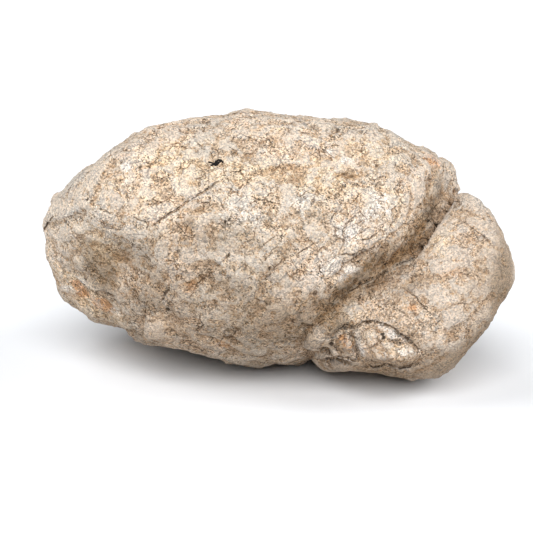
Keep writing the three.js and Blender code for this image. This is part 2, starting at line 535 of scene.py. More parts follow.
# %% Walk lines over the hidden sides
dice = random.Random(11)
STONE_MIDDLE = Vector((0, 0, 80)) * MM
OUTSIDE = 300 * MM
WALK_STEP = 1.6 * MM
WALK_BEND = 18


def landing(azimuth, elevation):
    """Where a line from outside to the stone's middle meets the skin. Azimuth 0 is the front and 90 the right
    end, in degrees."""
    turn, rise = math.radians(azimuth), math.radians(elevation)
    way = Vector((math.sin(turn) * math.cos(rise), -math.cos(turn) * math.cos(rise), math.sin(rise)))
    hit, place, normal, _ = stone.ray_cast(STONE_MIDDLE + way * OUTSIDE, -way)
    return place, normal


def walk(azimuth, elevation, length, bend=WALK_BEND):
    """A wandering line over the skin, length in millimetres and bend in degrees a step."""
    place, normal = landing(azimuth, elevation)
    heading = normal.orthogonal().normalized()
    path = [place]
    angle = dice.uniform(0, 2 * math.pi)
    side = normal.cross(heading)
    heading = heading * math.cos(angle) + side * math.sin(angle)
    for _ in range(round(length * MM / WALK_STEP)):
        _, place, normal, _ = stone.closest_point_on_mesh(place + heading * WALK_STEP)
        path.append(place)
        swing = math.radians(dice.uniform(-bend, bend))
        heading = heading - normal * heading.dot(normal)
        heading = (heading * math.cos(swing) + normal.cross(heading) * math.sin(swing)).normalized()
    return np.array(path)


HIDDEN_CRACKS = [
    # azimuth, elevation, length mm, half width mm, depth mm
    (120, 20, 45, 0.8, 1.3), (150, 35, 60, 0.9, 1.5), (175, 10, 40, 0.8, 1.2), (200, 40, 55, 0.8, 1.3),
    (230, 15, 50, 0.8, 1.3), (255, 30, 35, 0.7, 1.0), (280, 5, 40, 0.8, 1.2), (70, 25, 35, 0.7, 0.9),
    (95, 5, 40, 0.7, 0.9), (180, 65, 45, 0.7, 1.1), (215, 60, 40, 0.7, 0.9), (300, 60, 35, 0.7, 1.0),
]
back_cracks = [(half, depth, walk(*rest)) for *rest, half, depth in HIDDEN_CRACKS]
print(len(back_cracks), "cracks walked over the hidden sides")

# %% Divide the skin along the cracks
FINE_REACH = 1.6 * MM
NODULE_MIDDLE = (382, 346)
NODULE_REACH = 24 * MM
CRACK_CUTS = 2
NODULE_CUTS = 1


def divide(chosen, cuts):
    """Divides the faces that have all their corners in chosen, a yes or no for every point."""
    bpy.ops.object.mode_set(mode="EDIT")
    bpy.ops.mesh.select_all(action="DESELECT")
    bpy.ops.mesh.select_mode(type="VERT")
    bpy.ops.object.mode_set(mode="OBJECT")
    stone.data.vertices.foreach_set("select", chosen)
    bpy.ops.object.mode_set(mode="EDIT")
    bpy.ops.mesh.select_mode(type="FACE")
    bpy.ops.mesh.subdivide(number_cuts=cuts)
    bpy.ops.object.mode_set(mode="OBJECT")
    return read_points()


points, outward = read_points()
fine = np.zeros(len(points), bool)
cracks = front_cracks + back_cracks
for line in [line for _, _, line in cracks] + mark_lines:
    fine[near_line(line, FINE_REACH)[0]] = True
points, outward = divide(fine, CRACK_CUTS)
off_nodule = points - np.array(spot(*NODULE_MIDDLE))
points, outward = divide((off_nodule ** 2).sum(1) < NODULE_REACH ** 2, NODULE_CUTS)
print(len(points), "points after dividing")

# %% [markdown]
# ## Carving
# Three tools are enough. A crack is a V-shaped groove that tapers to its ends. A ledge is a step: the right
# hand side of a line drops, as where a sheet of crust has flaked off. An oval is a soft-edged dent or
# swelling. Each tool's edge is roughened, because a clean edge would look cut by a machine.

# %% Make the carving tools
CRACK_WIDEST = 1.6
CRACK_WAVER = 0.45
CRACK_WAVES = 3 * MM
CRACK_ENDS = 0.35
CRACK_SHARPNESS = 0.8
LEDGE_SEARCH = 2.2
LEDGE_WAVER = 0.8 * MM
LEDGE_WAVES = 4 * MM
LIP_HALF = 2.5 * MM
OVAL_SEARCH = 2.2
OVAL_WAVES = 0.55


def sink(chosen, depth):
    """Moves the chosen points inwards."""
    points[chosen] -= outward[chosen] * depth[:, None]


def taper(share):
    """1 along the middle of a line and 0 at its ends."""
    return np.sqrt(np.sin(np.pi * np.clip(share, 0, 1)))


def carve_crack(line, half, depth):
    """A V-shaped groove along the line."""
    near, distance, share, _ = near_line(line, half * CRACK_WIDEST)
    width = half * (1 + CRACK_WAVER * ruffle(points[near], CRACK_WAVES))
    width *= CRACK_ENDS + (1 - CRACK_ENDS) * taper(share)
    sink(near, depth * np.clip(1 - distance / width, 0, 1) ** CRACK_SHARPNESS * taper(share))


def carve_ledge(places, drop, reach, lip=0.3, edge=1.2):
    """Lowers the right hand side of the line by drop, fading out over reach, all in millimetres."""
    line = lay(places) if isinstance(places, list) else places
    near, distance, share, side = near_line(line, LEDGE_SEARCH * reach * MM)
    signed = -side * distance + LEDGE_WAVER * ruffle(points[near], LEDGE_WAVES)
    step = np.clip(signed / (edge * MM) + 0.5, 0, 1)
    low = drop * MM * step * np.exp(-((np.maximum(signed, 0) / (reach * MM)) ** 2))
    high = -lip * MM * (1 - step) * np.exp(-((signed / LIP_HALF) ** 2))
    sink(near, (low + high) * taper(share))


def oval(middle, across, high, turn=0, ragged=0.3, through=None):
    """The points in a soft-edged oval, and how far inside each is: 0 at the edge and 1 in the middle.
    across and high are its half sizes in millimetres as the camera sees it, turned by degrees, and through is
    its half size along the camera's sight line."""
    angle = math.radians(turn)
    along = np.array(RIGHT * math.cos(angle) + UP * math.sin(angle))
    over = np.array(UP * math.cos(angle) - RIGHT * math.sin(angle))
    off = (points - np.array(middle)) / MM
    ratio = (off @ along / across) ** 2 + (off @ over / high) ** 2
    ratio += (off @ np.array(BACK) / (through or max(across, high))) ** 2
    near = np.where(ratio < OVAL_SEARCH)[0]
    wave = ragged * ruffle(points[near], OVAL_WAVES * max(across, high) * MM)
    inside = np.clip(1 - np.sqrt(ratio[near]) + wave, 0, 1)
    return near, inside * inside * (3 - 2 * inside)


def patch(px, py, across, high, turn=0, spread=1, **rest):
    """The oval around a place in the picture, with its half sizes made larger by spread."""
    return oval(spot(px, py), across * spread, high * spread, turn, **rest)


def carve_oval(px, py, across, high, depth, turn=0, through=None):
    """A dent, or a swelling where depth is negative, in millimetres."""
    near, inside = patch(px, py, across, high, turn, through=through)
    sink(near, depth * MM * inside)


print("three carving tools ready")

# %% [markdown]
# ## The front of the crust
# The big steps come first: the smooth facet that stands proud at the left end, the flaked band below it,
# the sharp brow where the main lobe overhangs the small one, and the deep line where the two meet. Then
# come the dents and swellings, and the cracks last, so that they cut through everything.

# %% Cut the ledges
LEDGES = [
    # drop mm, reach mm, places from left to right, so that the lower side drops
    (1.5, 7, [(43, 224), (50, 223), (58, 220), (70, 215), (82, 210), (89, 206)]),
    (1.8, 8, [(89, 206), (92, 196), (94, 186), (99, 176), (106, 166), (112, 156)]),
    (1.9, 10, [(62, 268), (75, 277), (84, 286), (92, 290), (104, 291), (112, 295), (117, 303), (123, 313),
               (130, 317), (143, 316)]),
    (2.2, 8, [(147, 312), (144, 322), (143, 332), (145, 340)]),
    (1.1, 8, [(192, 262), (202, 259), (213, 261), (222, 266), (228, 275)]),
    (2.0, 8, [(322, 294), (333, 279), (350, 264), (366, 252), (381, 240), (394, 232), (405, 223), (410, 210),
              (411, 198), (407, 182)]),
    (0.9, 4, [(372, 281), (376, 274), (384, 264), (392, 256), (399, 249), (405, 241), (410, 233)]),
    (2.8, 11, [(364, 287), (373, 283), (379, 276), (389, 271), (397, 267), (404, 263), (411, 259),
               (416, 254)]),
    (1.2, 6, [(360, 323), (370, 321), (380, 322), (390, 327), (400, 333), (410, 341), (417, 348)]),
    (1.5, 5, [(375, 126), (382, 129), (389, 136), (392, 146)]),
    (1.5, 6, [(385, 147), (398, 146), (412, 153), (424, 164), (432, 176)]),
    (1.2, 7, [(240, 290), (256, 283), (272, 281), (290, 286), (306, 290)]),
    (1.0, 6, [(255, 262), (270, 250), (286, 243), (300, 236)]),
    (1.0, 6, [(300, 262), (316, 250), (330, 240), (344, 232)]),
    (1.2, 6, [(195, 334), (210, 336), (225, 343), (240, 352), (252, 354)]),
    (1.0, 5, [(440, 330), (452, 327), (464, 320), (474, 311), (484, 300), (494, 288)]),
    (0.9, 5, [(402, 376), (414, 372), (428, 366), (440, 356), (450, 346)]),
    (0.9, 6, [(457, 197), (464, 207), (474, 213), (486, 216)]),
    (0.8, 6, [(415, 290), (428, 300), (440, 312), (446, 322)]),
    (0.8, 5, [(170, 132), (190, 127), (212, 124), (236, 124)]),
    (0.9, 6, [(255, 172), (270, 166), (290, 163), (310, 168)]),
]
for drop, reach, places in LEDGES:
    carve_ledge(places, drop, reach)
points, outward = renew(points)
print(len(LEDGES), "ledges cut on the front")

# %% [markdown]
# The main lobe's brow hangs over a lower band of the smaller lobe, and a dark line runs where they touch. The
# brow's foot is filled out first, then the band drops towards it, and a narrow cut follows the contact. Cut
# alone, the line would look like a groove in one lobe instead of a gap between two.

# %% Fill the foot of the brow and dig the seam
SEAM = [(457, 190), (452, 200), (446, 211), (438, 224), (430, 235), (422, 247), (414, 257)]
SEAM_HALF = 3.6 * MM
SEAM_CUT = 3.2 * MM
SEAM_SHARPNESS = 1.3
SEAM_WANDER = 1.5
BROW_FOOT = [(441, 196), (434, 207), (426, 219), (418, 231), (410, 243), (402, 253)]
BROW_FOOT_HALF = 5.5 * MM
BROW_FOOT_FILL = 2.6 * MM
BAND_FOOT = [(454, 198), (446, 211), (438, 224), (430, 235), (422, 247), (414, 257)]
BAND_DROP = 5.0
BAND_REACH = 9

near, distance, share, _ = near_line(lay(BROW_FOOT), BROW_FOOT_HALF)
sink(near, -BROW_FOOT_FILL * (1 - (distance / BROW_FOOT_HALF) ** 2) * taper(share))
carve_ledge(BAND_FOOT, BAND_DROP, BAND_REACH)
points, outward = renew(points)
near, distance, share, _ = near_line(lay(SEAM, wander=SEAM_WANDER), SEAM_HALF)
sink(near, SEAM_CUT * (1 - distance / SEAM_HALF) ** SEAM_SHARPNESS * np.sqrt(taper(share)))
points, outward = renew(points)
print("seam deepened by up to", round(SEAM_CUT / MM, 1), "mm")

# %% Press the dents and raise the swellings
OVALS = [
    # middle px, half sizes mm, depth mm (a swelling has less than 0), turn degrees
    (210, 279, 14, 9, 1.2, -25), (290, 215, 24, 10, 1.0, 20), (182, 228, 14, 9, 1.0, 0),
    (170, 175, 15, 8, 1.0, 30), (262, 305, 16, 8, 1.2, 15), (320, 305, 8, 14, 1.2, -40),
    (283, 325, 9, 6, 1.2, 0), (108, 307, 14, 7, 1.6, -30), (70, 160, 11, 8, 1.0, 40),
    (255, 140, 22, 6, 1.2, -5), (400, 200, 8, 16, 0.8, -20), (420, 305, 13, 8, 1.4, -30),
    (390, 300, 12, 8, 1.0, 20), (470, 240, 14, 10, 0.8, -30), (455, 335, 10, 5, 1.4, 35),
    (330, 158, 12, 6, 0.8, 0), (350, 176, 7, 3, 1.6, 0), (92, 232, 8, 5, 1.2, 0), (150, 205, 8, 5, 0.8, 30),
    (230, 340, 9, 4, 1.6, -20), (121, 335, 9, 5, 1.2, -25), (326, 350, 6, 7, 3.0, 0),
    (340, 363, 9, 3, 2.0, 0), (345, 342, 7, 7, -1.8, 30), (336, 272, 7, 12, 1.4, -45),
    (352, 262, 7, 12, 1.2, -45), (78, 180, 14, 10, -1.2, 40), (125, 165, 8, 6, -1.2, 0),
    (246, 112, 7, 6, -2.6, 0), (84, 172, 34, 14, -1.8, 40), (200, 118, 30, 9, -1.4, 8),
    (449, 170, 6, 8, -1.0, -20), (459, 193, 3.2, 3.0, -2.4, 0), (158, 327, 10, 6, -1.4, 0),
    (160, 262, 8, 9, -1.2, 0), (95, 283, 6, 4, -0.8, 0), (262, 352, 8, 5, -1.6, 0),
    (305, 345, 8, 8, -1.2, 30), (410, 378, 7, 3, -1.6, 0), (370, 334, 6.5, 7, -1.8, 0),
    (391, 333, 9, 2.6, -1.6, -28), (406, 351, 7, 6, -2.2, -30), (393, 349, 8, 4.5, -1.0, -20),
    (377, 355, 6, 5, -1.0, 0), (363, 354, 2.6, 6, -1.4, 10), (392, 341, 6, 2, 1.2, -20),
    (450, 262, 18, 14, -1.0, 0), (430, 345, 12, 7, -1.0, 20), (460, 318, 9, 6, -0.8, 20),
]
OUTLINE_OVALS = [
    # the same, for the knobs and notches of the stone's outline, which reach far back over its edge
    (384, 127, 7, 6, 3.2, -30), (436, 148, 8, 7, 3.0, -50), (468, 200, 10, 6, -3.4, -30),
    (56, 196, 6, 9, -3.6, 0), (179, 350, 9, 6, 6.0, 0), (275, 368, 10, 6, 5.0, 0),
    (328, 364, 10, 7, 6.0, 0), (133, 331, 7, 4, 2.4, 20), (248, 109, 7, 4, -1.6, 0),
]
OUTLINE_THROUGH = 30
for numbers in OVALS:
    carve_oval(*numbers)
for numbers in OUTLINE_OVALS:
    carve_oval(*numbers, through=OUTLINE_THROUGH)
points, outward = renew(points)
print(len(OVALS) + len(OUTLINE_OVALS), "dents and swellings on the front")

# %% [markdown]
# The nodule has broken open low on the right, with rubble left of it. Fresh breaks have facets and hard
# edges, so both patches get coarser chips than the weathered crust around them.

# %% Break the nodule and the rubble into facets
BROKEN_PATCHES = [
    # middle px, half sizes mm, turn degrees
    (385, 345, 24, 13, -18), (342, 346, 11, 12, 0),
]
BROKEN_CHIPS = [(9 * MM, 2.0 * MM), (4.5 * MM, 1.2 * MM)]
BROKEN_STEEP = 3

for numbers in BROKEN_PATCHES:
    near, inside = patch(*numbers)
    facets = sum(height * chipped(points[near], size) for size, height in BROKEN_CHIPS)
    sink(near, facets * np.clip(BROKEN_STEEP * inside, 0, 1))
points, outward = renew(points)
print(len(BROKEN_PATCHES), "patches broken into facets")

# %% [markdown]
# ## Bedding
# Low on the right, the main lobe shows its layers: long grooves and ribs that run up to the right, along the
# brow and over the band under it. Noise stretched seven times along that direction gives such ribs, and a
# soft mask keeps them to the part of the crust where they belong.

# %% Score the bedding
BEDDING_RUN = 30 * MM
BEDDING_GAP = 4.2 * MM
BEDDING_DEPTH = 1.1 * MM
FINE_RIBS = 2.2
FINE_RIB_SHARE = 0.6
HIGHEST_RIB = -0.3
DEEPEST_GROOVE = 0.8
BEDDING_PATCHES = [
    # middle px, half sizes mm, turn degrees
    (330, 262, 44, 24, 40), (392, 238, 24, 30, 50), (270, 320, 40, 20, 20), (225, 300, 24, 14, 20),
    (350, 295, 30, 9, 42),
]

lean = np.zeros(len(points))
for numbers in BEDDING_PATCHES:
    raise_to(lean, *patch(*numbers))
banded = np.where(lean > 0)[0]
along = points[banded] @ bedding_way
squeezed = points[banded] - along[:, None] * bedding_way * (1 - BEDDING_GAP / BEDDING_RUN)
ribs = ruffle(squeezed, BEDDING_GAP) + FINE_RIB_SHARE * ruffle(squeezed, BEDDING_GAP / FINE_RIBS)
sink(banded, BEDDING_DEPTH * lean[banded] * np.clip(ribs, HIGHEST_RIB, DEEPEST_GROOVE))
points, outward = renew(points)
print("bedding over", len(banded), "points")

# %% [markdown]
# ## The other sides
# A stone is looked at from all round, so its back, ends and top get the same kinds of marks: ledges, dents
# and swellings at seeded random places. The tools are the same as on the front.

# %% Carve the hidden sides
HIDDEN_LEDGES = 16
LEDGE_LINES = [(60, 300), (-15, 65), (25, 60)]  # azimuth, elevation, length mm
LEDGE_SIZES = [(0.8, 2.4), (5, 11)]  # drop mm, reach mm
LEDGE_BEND = 12
HIDDEN_OVALS = 46
OVAL_PLACES = [(65, 295), (-15, 80)]  # azimuth, elevation
OVAL_SIZES = [(6, 20), (5, 14), (0, 180)]  # half sizes mm, turn degrees
OVAL_DEPTHS = [(-1.6, 2.2)]


def draw(ranges):
    """A seeded random number within each range."""
    return [dice.uniform(low, high) for low, high in ranges]


for _ in range(HIDDEN_LEDGES):
    line = walk(*draw(LEDGE_LINES), bend=LEDGE_BEND)
    carve_ledge(line, *draw(LEDGE_SIZES))
for _ in range(HIDDEN_OVALS):
    place, _ = landing(*draw(OVAL_PLACES))
    near, inside = oval(place, *draw(OVAL_SIZES))
    sink(near, draw(OVAL_DEPTHS)[0] * MM * inside)
points, outward = renew(points)
print(HIDDEN_LEDGES, "ledges and", HIDDEN_OVALS, "dents and swellings on the hidden sides")

# %% [markdown]
# Cracks come last, because they cut through everything else. The carving has moved the skin since the lines
# were laid on it, so each line is first settled onto it again. The forked mark on top is raised a little.

# %% Open the cracks and holes
PINHOLES = [
    # middle px, radius mm, depth mm
    (168, 309, 1.3, 3.2), (382.5, 334, 1.5, 2.6), (383.5, 337.5, 1.4, 3.0), (400, 343, 0.9, 1.2),
    (331, 344, 1.8, 2.6), (140, 167, 1.3, 1.6), (270, 268, 1.2, 1.2), (229, 219, 1.1, 1.0),
    (225, 222.5, 1.2, 1.0),
]
MARK_HALF = 0.62 * MM
MARK_RISE = 0.4 * MM
MARK_SPREAD = 1.5
HOLE_RAGGED = 0.2


def settle(line):
    """The same line, moved back onto the skin after the skin has changed."""
    return np.array([stone.closest_point_on_mesh(place)[1] for place in line.tolist()])


def settle_all():
    """Settles every crack and the mark."""
    cracks[:] = [(half, depth, settle(line)) for half, depth, line in cracks]
    mark_lines[:] = [settle(line) for line in mark_lines]


def covered(line):
    """The points under a stroke of the mark, and how fully each is covered, from 0 to 1."""
    near, distance, _, _ = near_line(line, MARK_HALF * MARK_SPREAD)
    return near, np.clip(MARK_SPREAD - distance / MARK_HALF, 0, 1)


settle_all()
for half, depth, line in cracks:
    carve_crack(line, half * MM, depth * MM)
for px, py, radius, depth in PINHOLES:
    near, inside = patch(px, py, radius, radius, ragged=HOLE_RAGGED)
    sink(near, depth * MM * np.sqrt(inside))
for line in mark_lines:
    near, cover = covered(line)
    sink(near, -MARK_RISE * cover)
points, outward = renew(points)
print(len(cracks), "cracks and", len(PINHOLES), "holes opened")

# %% [markdown]
# ## Thinning and fitting
# The even grid has more points than the calm stretches need. Decimate takes them away where the skin is
# nearly flat, and a vertex group keeps them along the cracks. The stone is then pressed into its box once
# more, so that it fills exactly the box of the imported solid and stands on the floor.

# %% Thin the skin and fit it to its box
MOST_TRIANGLES = 190000
KEPT_REACH = 1.4 * MM


def count_triangles():
    """How many triangles the stone has once all its faces are cut into them."""
    return sum(len(face.vertices) - 2 for face in stone.data.polygons)


kept = np.zeros(len(points))
for line in [line for _, _, line in cracks] + mark_lines:
    kept[near_line(line, KEPT_REACH)[0]] = 1
kept[patch(*NODULE_MIDDLE, NODULE_REACH / MM, NODULE_REACH / MM)[0]] = 1
weigh("kept", kept)
triangles = count_triangles()
print(triangles, "triangles before thinning,", int(kept.sum()), "points kept fine")
finish_with("DECIMATE", ratio=MOST_TRIANGLES / triangles, vertex_group="kept", invert_vertex_group=True)
stone.vertex_groups.clear()
points, outward = read_points()
points = fit_to_box(points)
bpy.ops.object.shade_smooth()
points, outward = renew(points)
settle_all()
print(count_triangles(), "triangles")

# %% [markdown]
# ## What the finish needs to know
# Colour on stone follows its shape: dirt gathers in hollows, and stains have places of their own. Shade is
# painted into the hollows, the cracks and what faces down too, and light onto a few patches. Each such fact
# is stored on the points as an attribute from 0 to 1, which the material then reads. The hollows are found by
# comparing the skin with a smoothed copy of itself, once gently and once strongly.

# %% Store hollows, undersides and lobes
HOLLOWS = [
    # name, rounds of smoothing, depth that counts as full
    ("pit", 6, 0.35 * MM),
    ("hollow", 60, 1.6 * MM),
]
UNDERSIDE_ROUNDS = 25
UNDERSIDE_FROM = 0.02
UNDERSIDE_TO = -0.40
STRATA_SPREAD = 1.2


def store(name, values):
    """Keeps one number for each point under this name."""
    attribute = stone.data.attributes.new(name, "FLOAT", "POINT")
    attribute.data.foreach_set("value", values.astype(np.float32))


pairs = edges_of(stone)
for name, rounds, full in HOLLOWS:
    deep = ((smoothed(points, pairs, rounds) - points) * outward).sum(1)
    store(name, np.clip(0.5 + 0.5 * deep / full, 0, 1))
# painted shade: where the broadly smoothed skin faces down is stored, so that the material can darken it
facing_up = smoothed(outward, pairs, UNDERSIDE_ROUNDS)[:, 2]
store("underside_shade", np.clip((facing_up - UNDERSIDE_FROM) / (UNDERSIDE_TO - UNDERSIDE_FROM), 0, 1))
store("side", side_share(points))
strata = np.zeros(len(points))
for numbers in BEDDING_PATCHES:
    raise_to(strata, *patch(*numbers, spread=STRATA_SPREAD))
store("strata", strata)
print("hollows, undersides and lobes stored")

# %% Store the cracks and the mark
CRACK_DARKENING_HALF = 0.66 * MM
CRACK_SPREAD = 1.2
CRACK_REACH = 2.5 * MM
HOLE_SPREAD = 1.3
HOLE_STEEP = 2

# dirt and painted shade: how dark each point by a crack or hole is painted
crack = np.zeros(len(points))
for half, depth, line in cracks:
    near, distance, share, _ = near_line(line, CRACK_REACH)
    stain = np.clip(CRACK_SPREAD - distance / CRACK_DARKENING_HALF, 0, 1) * taper(share)
    raise_to(crack, near, stain * min(1, depth))
for px, py, radius, _ in PINHOLES:
    near, inside = patch(px, py, radius, radius, spread=HOLE_SPREAD, ragged=HOLE_RAGGED)
    raise_to(crack, near, np.clip(inside * HOLE_STEEP, 0, 1))
store("crack", crack)
mark = np.zeros(len(points))
for line in mark_lines:
    raise_to(mark, *covered(line))
store("mark", mark)
print("cracks and mark stored")

# %% Store the stains, the painted shade and the painted light
STAINS_SHADE_AND_LIGHT = {
    # kind: (middle px, half sizes mm, turn degrees, strength)
    # painted light: lighter patches over the left end and the low front, where the crust faces down; the
    # painted shade of the undersides stays off them
    "washed": [
        (66, 250, 30, 34, 0, 1), (110, 205, 26, 12, 0, 0.9), (82, 290, 30, 16, -35, 0.35),
        (125, 310, 26, 12, -25, 0.4), (230, 318, 46, 9, 0, 0.4),
    ],
    # painted shade: darker patches on the belly, along the brow and the seam, low down and at the right end,
    # where the stone lies in shade
    "grime": [
        (225, 285, 70, 26, 5, 0.45), (285, 305, 44, 26, 15, 0.45), (335, 252, 26, 12, 42, 0.5),
        (362, 283, 36, 12, 44, 1.1), (335, 320, 16, 22, 30, 0.8), (426, 220, 10, 28, -28, 1.0),
        (506, 272, 12, 44, -10, 0.9), (470, 345, 26, 9, 38, 0.5), (400, 372, 30, 9, 0, 0.4),
        (205, 240, 46, 13, 0, 0.5), (400, 256, 24, 11, 40, 0.9), (484, 290, 18, 44, -10, 0.45),
        (98, 266, 24, 20, 0, 0.7), (190, 222, 8, 8, 0, 0.7), (412, 283, 13, 13, 0, 0.7),
    ],
    "rust": [
        (81, 290, 9, 5, -45, 1.3), (102, 306, 10, 5, -35, 1.2), (155, 222, 8, 4, 35, 0.35),
        (480, 224, 3, 1.2, 0, 0.8), (412, 308, 3.5, 3, 0, 0.8), (126, 155, 8, 2, 0, 0.5),
        (60, 190, 5, 4, 0, 0.4), (450, 272, 12, 7, 0, 0.3), (190, 285, 8, 5, 0, 0.4),
        (225, 345, 11, 4, -20, 0.5), (345, 340, 6, 6, 20, 0.6), (148, 340, 4, 4, 0, 0.6),
        (282, 368, 10, 3, 0, 0.5), (396, 252, 8, 3, 40, 0.4),
    ],
    "chalk": [
        (66, 288, 5, 4, 0, 0.8), (118, 311, 6, 4, -30, 0.8), (126, 166, 5, 4, 0, 0.8),
        (98, 218, 9, 5, 60, 0.5), (380, 205, 14, 9, 30, 0.6), (350, 230, 16, 9, 30, 0.6),
        (300, 200, 16, 8, 20, 0.4), (392, 333, 9, 3, -28, 1), (405, 353, 6, 5, -20, 0.7),
        (363, 356, 2.6, 7, 10, 1), (330, 262, 18, 9, 35, 0.6), (192.5, 197.5, 3.2, 1.6, 50, 1),
        (427, 183, 2, 1.5, 0, 1), (303.5, 329, 2, 1.6, 0, 1), (345, 160, 6, 3, 0, 0.6),
        (330, 152, 6, 3, 0, 0.5), (252, 208, 22, 14, 0, 0.45), (420, 350, 4, 3, 0, 0.5),
        (450, 346, 5, 3, 0, 0.5), (200, 355, 6, 2, -20, 0.6), (363, 219, 9, 4, 30, 0.8),
        (390, 212, 7, 4, 30, 0.6), (404, 244, 1.6, 8, -38, 0.6), (386, 262, 1.6, 7, -40, 0.5),
        (348, 273, 9, 4, 40, 0.7),
    ],
    # grey patches, and painted shadow on the smaller lobe under the brow's lip
    "ash": [
        (75, 180, 20, 10, 40, 0.8), (70, 214, 12, 4, 15, 0.9), (132, 325, 12, 6, -30, 0.8),
        (140, 250, 10, 7, 0, 0.5), (402, 270, 10, 5, 32, 0.5), (383, 280, 7, 4, 35, 0.4),
        (210, 125, 30, 5, 8, 0.5), (330, 130, 30, 6, -10, 0.4), (460, 206, 9, 5, -20, 0.6),
        (388, 295, 12, 6, 35, 0.4), (150, 140, 14, 5, 35, 0.4), (358, 338, 2.6, 8, 0, 0.9),
        (250, 150, 12, 6, 0, 0.3), (270, 182, 12, 8, 0, 0.4), (205, 152, 12, 6, 0, 0.3),
        (150, 308, 24, 12, 0, 0.6),
    ],
    "clay": [
        (250, 158, 7, 4, 0, 0.8), (203, 212, 6, 4, 0, 0.8), (297, 176, 5, 5, 0, 0.6),
        (350, 176, 9, 3.5, 0, 1.3), (190, 283, 10, 6, 0, 0.6), (215, 345, 14, 5, -20, 0.5),
        (118, 262, 18, 8, 0, 0.5), (245, 112, 8, 2, 0, 0.6), (255, 134, 10, 4, 0, 0.4),
        (412, 238, 7, 16, -35, 0.9), (396, 258, 11, 4, 38, 0.9), (352, 280, 26, 7, 42, 0.8),
        (335, 305, 16, 9, 42, 0.6), (320, 320, 12, 9, 30, 0.5), (345, 343, 7, 7, 0, 0.7),
        (376, 355, 7, 5, 0, 0.6), (190, 240, 20, 9, 10, 0.4), (150, 312, 9, 7, 0, 0.35),
        (425, 205, 9, 14, -25, 0.5), (455, 332, 14, 5, 35, 0.4),
    ],
    # cream patches, and painted light over the lower left end, where the crust faces down
    "cream": [
        (150, 160, 30, 14, 30, 0.5), (250, 200, 26, 14, 20, 0.5), (370, 190, 30, 14, -20, 0.5),
        (405, 353, 6, 5, 0, 0.7), (369, 334, 6, 7, 0, 0.8), (440, 240, 16, 12, 0, 0.5),
        (150, 195, 14, 9, 20, 0.5), (396, 350, 12, 6, -20, 0.5), (75, 283, 28, 15, -40, 0.9),
        (104, 312, 30, 12, -30, 0.9), (102, 246, 20, 14, 0, 0.7), (262, 172, 50, 15, 5, 0.9),
        (320, 190, 26, 16, 0, 0.6), (372, 150, 28, 14, 0, 0.5), (180, 168, 26, 15, 0, 0.9),
    ],
    # painted shadow: dark patches under the brow's lip, along the seam and below the brow, and in the
    # crevices round the nodule and the rubble
    "soot": [
        (349, 329, 5, 2.4, 0, 0.8), (326, 350, 8, 7, 30, 0.7), (340, 362, 12, 3, 0, 0.8),
        (405, 262, 9, 2, 35, 0.5), (437, 226, 3, 16, -35, 0.3), (347, 289, 30, 6, 48, 0.55),
    ],
}
HIDDEN_STAINS = {"rust": 9, "chalk": 16, "ash": 12, "clay": 12, "cream": 10}
STAIN_PLACES = [(65, 295), (-20, 80)]  # azimuth, elevation
STAIN_SIZES = [(6, 26), (4, 16), (0, 180)]  # half sizes mm, turn degrees
STAIN_STRENGTHS = [(0.4, 0.9)]
STAIN_SPREAD = 1.3
STAIN_RAGGED = 0.5

for kind, patches in STAINS_SHADE_AND_LIGHT.items():
    strength = np.zeros(len(points))
    for *numbers, full in patches:
        near, inside = patch(*numbers, spread=STAIN_SPREAD, ragged=STAIN_RAGGED)
        raise_to(strength, near, full * inside)
    for _ in range(HIDDEN_STAINS.get(kind, 0)):
        place, _ = landing(*draw(STAIN_PLACES))
        near, inside = oval(place, *draw(STAIN_SIZES), ragged=STAIN_RAGGED)
        raise_to(strength, near, draw(STAIN_STRENGTHS)[0] * inside)
    store(kind, strength)
print("stains stored:", ", ".join(STAINS_SHADE_AND_LIGHT))

# %% [markdown]
# ## Shader maths
# A stone's colour is a stack of masks: grains over patches over a base, dirt and painted shade over all.
# Written as nodes by hand, such sums get long. The small class below wraps one output of a node, so that
# ordinary
# Python arithmetic on it adds the Math nodes.

# %% Make a little shader language
class Field:
    """One output of a shader node. Arithmetic on it adds Math nodes, which work on numbers alone."""

    def __init__(self, socket):
        self.socket = socket

    def __add__(self, other):
        return maths("ADD", self, other)

    def __sub__(self, other):
        return maths("SUBTRACT", self, other)

    def __rsub__(self, other):
        return maths("SUBTRACT", other, self)

    def __mul__(self, other):
        return maths("MULTIPLY", self, other)

    __radd__ = __add__
    __rmul__ = __mul__


def node(kind, settings=None, inputs=None, output=0):
    """Adds a node, sets it, and joins or fills its sockets. Gives back one of its outputs."""
    made = tree.nodes.new(kind)
    for name, value in (settings or {}).items():
        setattr(made, name, value)
    for name, value in (inputs or {}).items():
        if isinstance(value, Field):
            tree.links.new(value.socket, made.inputs[name])
        else:
            made.inputs[name].default_value = value
    return Field(made.outputs[output])


def maths(operation, first, second):
    return node("ShaderNodeMath", {"operation": operation}, {0: first, 1: second})


def between(value, low, high):
    """0 where value is low, 1 where it is high, and smooth between."""
    settings = {"interpolation_type": "SMOOTHSTEP"}
    return node("ShaderNodeMapRange", settings, {"Value": value, "From Min": low, "From Max": high})


def blend(share, under, over, mode="MIX"):
    """One colour laid over another by a share from 0 to 1."""
    settings = {"data_type": "RGBA", "blend_type": mode}
    return node("ShaderNodeMix", settings, {0: share, 6: under, 7: over}, output=2)


def tint(red, green, blue):
    """A colour as a screen shows it, 0 to 255, turned into the light values that shaders use."""
    return (*(((level / 255 + 0.055) / 1.055) ** 2.4 for level in (red, green, blue)), 1)


def colour(red, green, blue):
    """The pigment that shows as this colour on the top of the stone, under the lights of this scene."""
    return (*(PIGMENT * light for light in tint(red, green, blue)[:3]), 1)


PIGMENT = 0.76
crust = bpy.data.materials.new("weathered_crust")
crust.use_nodes = True
tree = crust.node_tree
place = node("ShaderNodeTexCoord", output="Object")
print("shader language ready")

